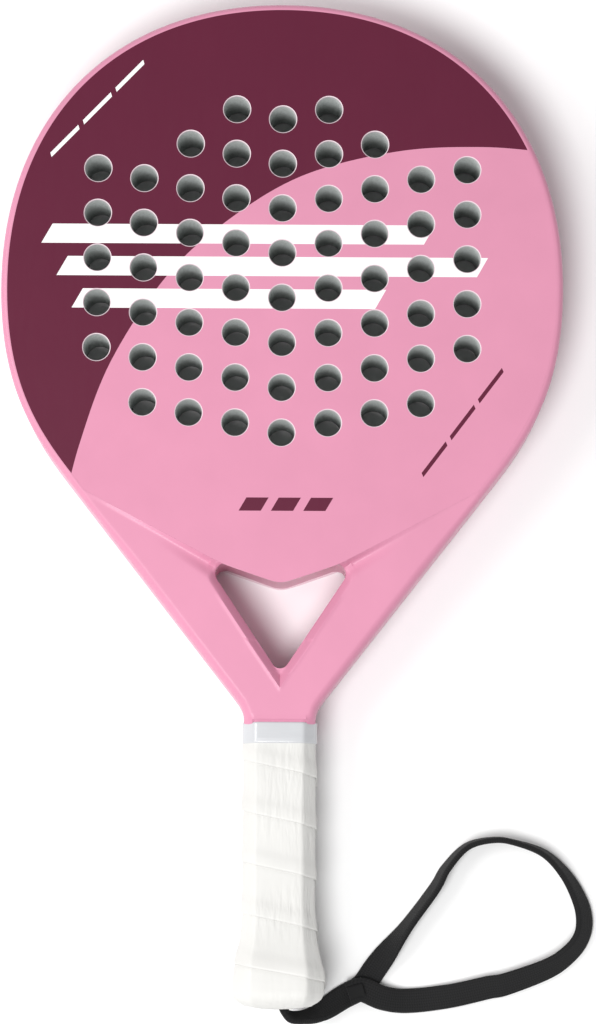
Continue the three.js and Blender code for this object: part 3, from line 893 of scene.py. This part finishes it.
def throat_grid(head, throat, skin):
    """Points over the arms, the neck and the bridge's bare edge, clear of the loops."""
    xs = np.arange(-GRID_HALF_WIDTH, GRID_HALF_WIDTH, GRID_SPACING)
    ys = np.arange(NECK_END_Y, GRID_TOP_Y, GRID_SPACING * GRID_ROW_SHARE)
    rows = []
    for index, y in enumerate(ys):
        shift = GRID_SPACING / 2 if index % 2 else 0
        rows.append(np.stack([xs + shift, np.full(len(xs), y)], axis=1))
    points = np.vstack(rows)
    points = points[inside(points, head) & ~inside(points, throat) & ~inside(points, skin)]
    clear = distance_to(points, head) > edge_round_width(points[:, 1]) + GRID_SPACING / 2
    clear &= distance_to(points, throat) > BEVEL_WIDTH + GRID_SPACING * 0.6
    clear &= distance_to(points, skin) > GRID_SPACING * 0.6
    for loop in bevel_point_loops():
        clear &= distance_to(points, loop) > GRID_SPACING * 0.5
    return points[clear]


def make_frame_shell(head, throat, skin, core):
    """The painted frame and bridge: one moulded surface with a shallow pocket for each skin."""
    loops = [inset(head, edge_round_width(head[:, 1]) * step) for step in EDGE_STEPS]
    loops += [inset(throat, -BEVEL_WIDTH * step) for step in BEVEL_STEPS]
    loops += [*bevel_point_loops(), skin, inset(skin, -POCKET_GAP), core]
    points, triangles = triangulated(loops, extra=throat_grid(head, throat, skin))

    def in_shell(middles):
        return inside(middles, head) & ~inside(middles, throat) & ~inside(middles, core)

    points, triangles = kept_triangles(points, triangles, in_shell)
    height = shell_height(points, head, throat)
    in_pocket = inside(points, skin) | (distance_to(points, skin) < POCKET_GAP / 2)
    height[in_pocket] = HALF_THICKNESS - SKIN_THICKNESS - POCKET_FLOOR_GAP
    slots = [0] * len(triangles)
    mesh = solid_between("frame_shell", points, triangles, height, -height, slots, 0, sharp=40)
    add_object("frame_shell", mesh, [pink_paint], "racket", ["frame_tube", "throat_bridge"])


# The paints of a skin, by their place in its list of materials.
PINK_SLOT, MAROON_SLOT, WHITE_SLOT, LAMINATE_SLOT = range(4)
HOLE_SIDES = 48
# The cut edge of a hole: how far out from its wall, and how far below the face.
RIM_STEPS = ((0, 0.00045), (0.00014, 0.00017), (0.00042, 0), (0.0007, 0))
# A hole's polygon cuts slightly inside its circle, so hole tests use a radius this much smaller.
POLYGON_SHARE = 0.9985
LAMINATE_SHARE = 0.98


def circle(centre, radius):
    return np.array(arc(centre, radius, 0, 2 * math.pi, HOLE_SIDES)[:-1])


def to_nearest_hole(places, centres):
    """How far each point lies from the middle of the nearest hole."""
    return np.min(np.linalg.norm(places[:, None, :] - centres[None], axis=2), axis=1)


def colour_boundary():
    """The long curve where the maroon field meets the pink one, from the right edge to the left."""
    through = [(0.124, 0.3865), (0.090, 0.389), (0.051, 0.3866), (0.008, 0.375), (-0.027, 0.353),
               (-0.053, 0.328), (-0.077, 0.290), (-0.0905, 0.253), (-0.098, 0.222)]
    return catmull(through, 10)


def bar(left, right, low, height, slant):
    """A flat bar with slanted ends."""
    return np.array([(left, low), (right, low), (right + slant, low + height), (left + slant, low + height)])


def turned(outline, centre, degrees):
    """The outline turned about its origin, which is then put at the centre."""
    angle = math.radians(degrees)
    turn = np.array([[math.cos(angle), math.sin(angle)], [-math.sin(angle), math.cos(angle)]])
    return outline @ turn + np.array(centre)


def printed_bars():
    """Plain stripes, each as its outline and its paint slot."""
    stripes = [
        (bar(-0.109, 0.064, 0.3440, 0.0088, 0.005), WHITE_SLOT),
        (bar(-0.102, 0.088, 0.3292, 0.0088, 0.005), WHITE_SLOT),
        (bar(-0.095, 0.042, 0.3144, 0.0088, 0.005), WHITE_SLOT),
        (bar(-0.019, -0.009, 0.2225, 0.006, 0.0035), MAROON_SLOT),
        (bar(-0.0045, 0.0055, 0.2225, 0.006, 0.0035), MAROON_SLOT),
        (bar(0.010, 0.020, 0.2225, 0.006, 0.0035), MAROON_SLOT),
    ]
    for step in range(3):
        dash = bar(-0.030 + step * 0.021, -0.012 + step * 0.021, 0, 0.0018, 0.001)
        stripes.append((turned(dash, (-0.084, 0.405), 46), WHITE_SLOT))
        stripes.append((turned(dash, (0.082, 0.262), 53), MAROON_SLOT))
    return stripes


def make_skin(name, head, skin, side, replaced):
    """One painted face with its drilled holes. side is 1 for the front and -1 for the rear."""
    centres = hole_centres()
    loops = [skin]
    loops += [circle(c, HOLE_RADIUS + out) for c in centres for out, _ in RIM_STEPS]
    boundary = colour_boundary()
    stripes = printed_bars()
    points, triangles = triangulated([*loops, *[outline for outline, _ in stripes]], [boundary])

    def in_skin(middles):
        return inside(middles, skin) & (to_nearest_hole(middles, centres) > HOLE_RADIUS * POLYGON_SHARE)

    points, triangles = kept_triangles(points, triangles, in_skin)
    out_from_hole = to_nearest_hole(points, centres) - HOLE_RADIUS
    drop = np.interp(out_from_hole, *zip(*RIM_STEPS))
    middles = points[triangles].mean(axis=1)
    field = np.vstack([boundary, [(-0.2, 0.222), (-0.2, 0.5), (0.2, 0.5), (0.2, 0.3865)]])
    slots = np.where(inside(middles, field), MAROON_SLOT, PINK_SLOT)
    for outline, slot in stripes:
        slots[inside(middles, outline)] = slot
    cut_edge = HOLE_RADIUS + RIM_STEPS[2][0] * LAMINATE_SHARE
    slots[to_nearest_hole(middles, centres) < cut_edge] = LAMINATE_SLOT
    bottom_slots = [LAMINATE_SLOT] * len(triangles)
    outer = side * (HALF_THICKNESS - drop)
    inner = np.full(len(points), side * (HALF_THICKNESS - SKIN_THICKNESS))
    mesh = solid_between(name, points, triangles, outer, inner, slots, LAMINATE_SLOT, bottom_slots, sharp=30)
    paints = [pink_paint, maroon_paint, white_print, laminate_edge]
    add_object(name, mesh, paints, "racket", [replaced])


def make_core(core):
    """The grey foam core, whose drilled walls show in the holes."""
    centres = hole_centres()
    edge = inset(core, CORE_EDGE_GAP)
    loops = [edge, *[circle(c, HOLE_RADIUS) for c in centres]]
    points, triangles = triangulated(loops)

    def in_core(middles):
        return inside(middles, edge) & (to_nearest_hole(middles, centres) > HOLE_RADIUS * POLYGON_SHARE)

    points, triangles = kept_triangles(points, triangles, in_core)
    half = np.full(len(points), HALF_THICKNESS - SKIN_THICKNESS - CORE_FACE_GAP)
    slots = [0] * len(triangles)
    mesh = solid_between("drilled_foam_core", points, triangles, half, -half, slots, 0)
    add_object("drilled_foam_core", mesh, [core_foam], "racket", ["foam_core"])


head = head_outline()
throat = throat_outline()
core = core_outline()
skin = skin_outline(head, SKIN_INSET)
make_frame_shell(head, throat, skin, core)
make_skin("front_painted_skin", head, skin, 1, "front_face")
make_skin("rear_painted_skin", head, skin, -1, "rear_face")
make_core(core)


# ---------------------------------------------------------------- handle

# How much the butt widens: y, then how far each side stands out from the shaft.
FLARE_PROFILE = [
    (0, -0.0032), (0.0008, -0.0008), (0.0018, 0.0012), (0.0035, 0.0031), (0.007, 0.0043), (0.012, 0.0043),
    (0.018, 0.0038), (0.024, 0.0024), (0.031, 0.001), (0.038, 0.0002), (0.046, 0), (0.2, 0),
]
FLARE_THICKNESS_SHARE = 0.87


def flare(y):
    """How much wider than its shaft the handle is at y, on each side."""
    return float(np.interp(y, *zip(*FLARE_PROFILE)))


def handle_section(y, lift):
    """64 points round the rounded octagon at y, as (x, height, normal x, normal height)."""
    extra = flare(y)
    half_width = GRIP_HALF_WIDTH + extra - CORNER_RADIUS
    half_height = GRIP_HALF_THICKNESS + extra * FLARE_THICKNESS_SHARE - CORNER_RADIUS
    bevel = GRIP_BEVEL + extra / 2 - CORNER_RADIUS * CORNER_CUT
    reach = CORNER_RADIUS + lift
    corners = [(half_width, half_height - bevel, 22.5), (half_width - bevel, half_height, 67.5),
               (bevel - half_width, half_height, 112.5), (-half_width, half_height - bevel, 157.5),
               (-half_width, bevel - half_height, 202.5), (bevel - half_width, -half_height, 247.5),
               (half_width - bevel, -half_height, 292.5), (half_width, bevel - half_height, 337.5)]
    points = []
    for index, (x, height, middle) in enumerate(corners):
        next_x, next_height, _ = corners[(index + 1) % 8]
        for step in range(4):
            angle = math.radians(middle - 22.5 + 15 * step)
            normal = (math.cos(angle), math.sin(angle))
            points.append((x + reach * normal[0], height + reach * normal[1], *normal))
        angle = math.radians(middle + 22.5)
        normal = (math.cos(angle), math.sin(angle))
        for step in range(1, 5):
            t = step / 5
            across = (x + (next_x - x) * t, height + (next_height - height) * t)
            points.append((across[0] + reach * normal[0], across[1] + reach * normal[1], *normal))
    return points


def perimeter_fractions():
    """How far round the shaft each of the section's points lies, from 0 to 1."""
    section = np.array([p[:2] for p in handle_section(SHAFT_Y, 0)])
    closed = np.vstack([section, section[:1]])
    along = np.concatenate([[0], np.cumsum(np.linalg.norm(np.diff(closed, axis=0), axis=1))])
    return along[:-1] / along[-1]


def dome_butt(mesh):
    """Bows the butt end out, so that its middle stands proud of its corners."""
    for vertex in mesh.vertices:
        nearness = min(1, max(0, 1 - (vertex.co.y - butt_y) / DOME_LENGTH))
        vertex.co.y += DOME_RISE * (vertex.co.x / GRIP_HALF_WIDTH) ** 2 * nearness


LAP = 0.2
STRIP_END = 1.0 + LAP * 0.9
STRIP_TURNS = 8
STRIP_BASE_LIFT = -0.001
STRIP_RIPPLE = 0.00009
TURNS_BELOW_SEAM = 2
# The section's point where the front face begins, which is where the lowest seam is placed.
FRONT_START = 8
# The strip's section: how far up the turn, as a share of the pitch, and how many tapes out from its base.
STRIP_OUTSIDE = [
    (0.0, 1.2), (0.006, 1.7), (0.02, 1.95), (0.07, 2.0), (LAP, 1.9), (LAP + 0.07, 1.5), (LAP + 0.16, 1.15),
    (0.5, 1.05), (0.75, 1.02), (0.955, 1.0), (0.99, 0.8), (STRIP_END, 0.75),
]
STRIP_INSIDE = [(0.0, 1.02), (LAP, 1.0), (LAP + 0.04, 0.6), (LAP + 0.14, 0.1), (0.5, 0.05), (STRIP_END, 0.1)]


def strip_section():
    """The strip's section as a loop: up its outer side, then down its inner side."""
    folded_edge = [0, 0.006, 0.02]
    middle = list(np.arange(0.06, 0.91, 0.06))
    covered_edge = [0.955, 0.972, 0.99, 1.02, 1.1, STRIP_END]
    shares = folded_edge + middle + covered_edge
    section = [(up, float(np.interp(up, *zip(*STRIP_OUTSIDE)))) for up in shares]
    section += [(up, float(np.interp(up, *zip(*STRIP_INSIDE)))) for up in reversed(shares)]
    return section


def make_overgrip():
    """The white tape: one strip wound up the handle, each turn lapping over the one below."""
    section = strip_section()
    fractions = perimeter_fractions()
    per_turn = len(fractions)
    first_seam = LOWEST_SEAM_Y - WRAP_PITCH * (TURNS_BELOW_SEAM + fractions[FRONT_START])
    rings = STRIP_TURNS * per_turn + 1
    vertices = []
    for step in range(rings):
        turn, index = divmod(step, per_turn)
        low_y = first_seam + WRAP_PITCH * (turn + fractions[index])
        for up, out in section:
            y = low_y + up * WRAP_PITCH
            lift = STRIP_BASE_LIFT + out * TAPE_THICKNESS
            x, height, normal_x, normal_height = handle_section(y, lift)[index]
            ripple = STRIP_RIPPLE * noise.noise(Vector((x * 90, y * 55, height * 90)))
            vertices.append(place(x + ripple * normal_x, y, height + ripple * normal_height))
    mesh = smooth_mesh("wound_overgrip", vertices, swept_faces(rings, len(section)), 50)
    face_outwards(mesh)
    trim(mesh, GRIP_BOTTOM_Y, above=False)
    trim(mesh, GRIP_TOP_Y, above=True)
    dome_butt(mesh)
    mesh.shade_smooth()
    mesh.set_sharp_from_angle(angle=math.radians(50))
    add_object("wound_overgrip", mesh, [white_grip], "racket", ["overgrip"])


def trim(mesh, y, above):
    """Cuts the closed mesh square across the handle at y and closes the cut with one many-sided face.

    At the butt the triangles of that face run across the handle's hollow.
    """
    work = bmesh.new()
    work.from_mesh(mesh)
    normal = (0, 1, 0) if above else (0, -1, 0)
    everything = work.verts[:] + work.edges[:] + work.faces[:]
    bmesh.ops.bisect_plane(
        work,
        geom=everything,
        dist=1e-7,
        plane_co=(0, butt_y + y, 0),
        plane_no=normal,
        clear_outer=True,
    )
    open_edges = [edge for edge in work.edges if edge.is_boundary]
    bmesh.ops.holes_fill(work, edges=open_edges, sides=0)
    work.to_mesh(mesh)
    work.free()


def ring_solid(name, rings):
    """A closed tube whose section is the loop of rings: up the outside, then down the inside."""
    count = len(rings[0])
    vertices = [point for ring in rings for point in ring]
    faces = []
    for ring in range(len(rings)):
        here = ring * count
        following = (ring + 1) % len(rings) * count
        for i in range(count):
            j = (i + 1) % count
            faces.append((here + i, here + j, following + j, following + i))
    return face_outwards(smooth_mesh(name, vertices, faces, 50))


def sleeve_mesh(name, stations, wall):
    """A closed tube on the handle's section through stations of y and lift."""
    rings = []
    for y, lift in stations:
        rings.append([place(x, y, height) for x, height, _, _ in handle_section(y, lift)])
    for y, lift in reversed(stations):
        rings.append([place(x, y, height) for x, height, _, _ in handle_section(y, min(lift, 0) - wall)])
    return ring_solid(name, rings)


def make_base_grip():
    """The black foam sleeve under the overgrip."""
    stations = [(0.0062, -0.0014)]
    stations += [(y, -0.0012) for y in (0.007, 0.012, 0.018, 0.024, 0.031, 0.038, 0.046, 0.1188)]
    mesh = sleeve_mesh("base_grip_sleeve", stations, 0.0018)
    add_object("base_grip_sleeve", mesh, [base_grip_foam], "racket", ["base_grip"])


def opening_ring(y, half_width, half_height):
    """A squarish ring at y with as many points as the handle's section, in the same order."""
    power = 6
    ring = []
    for x, height, _, _ in handle_section(SHAFT_Y, 0):
        angle = math.atan2(height, x)
        across = abs(math.cos(angle) / half_width)
        upward = abs(math.sin(angle) / half_height)
        reach = (across ** power + upward ** power) ** (-1 / power)
        ring.append(place(reach * math.cos(angle), y, reach * math.sin(angle)))
    return ring


def make_butt_cap():
    """The plastic cap in the butt, with the slot that the strap leaves by."""
    inset_in_handle = -0.0034
    plug_end = 0.028
    outside = [(0.0003, -0.0024), (0.0007, -0.0014), (0.003, -0.0014)]
    outside += [(y, inset_in_handle) for y in (0.0035, 0.012, 0.018, 0.024, plug_end)]
    chamber = (0.0112, 0.0092)
    slot = (0.0095, 0.008)
    slot_round = 0.0004
    slot_mouth = (slot[0] + slot_round, slot[1] + slot_round)
    rings = [[place(x, y, height) for x, height, _, _ in handle_section(y, lift)] for y, lift in outside]
    rings += [opening_ring(plug_end, *chamber), opening_ring(0.0036, *chamber)]
    rings += [opening_ring(0.0035, *slot), opening_ring(0.0008, *slot), opening_ring(0.0003, *slot_mouth)]
    mesh = ring_solid("slotted_butt_cap", rings)
    dome_butt(mesh)
    add_object("slotted_butt_cap", mesh, [cap_plastic], "racket", ["butt_cap"])


def make_collar():
    """Vinyl finishing tape over the top of the overgrip and the end of the painted neck."""
    lift = 0.0002
    edge_lift = lift + 0.0001
    stations = [(0.1186, -0.0001), (0.1188, lift), (0.1192, edge_lift), (0.1215, lift), (0.125, lift)]
    stations += [(0.1272, edge_lift), (0.1278, lift), (COLLAR_TOP_Y, -0.0003)]
    mesh = sleeve_mesh("collar_tape", stations, 0.0004)
    add_object("collar_tape", mesh, [collar_vinyl], "racket", ["grip_collar"])


make_overgrip()
make_base_grip()
make_butt_cap()
make_collar()


# ---------------------------------------------------------------- carried-over CAD nodes


def repaint(node, material):
    """Gives a CAD node that is shown as it is its material."""
    mesh = bpy.data.objects[node].data
    mesh.materials.clear()
    mesh.materials.append(material)


repaint("handle_foam", handle_core_foam)
repaint("cap_staple_right", steel)
repaint("cap_staple_left", steel)
repaint("strap_pin", steel)
repaint("strap_anchor_loop", black_webbing)
repaint("strap_bartack", black_thread)
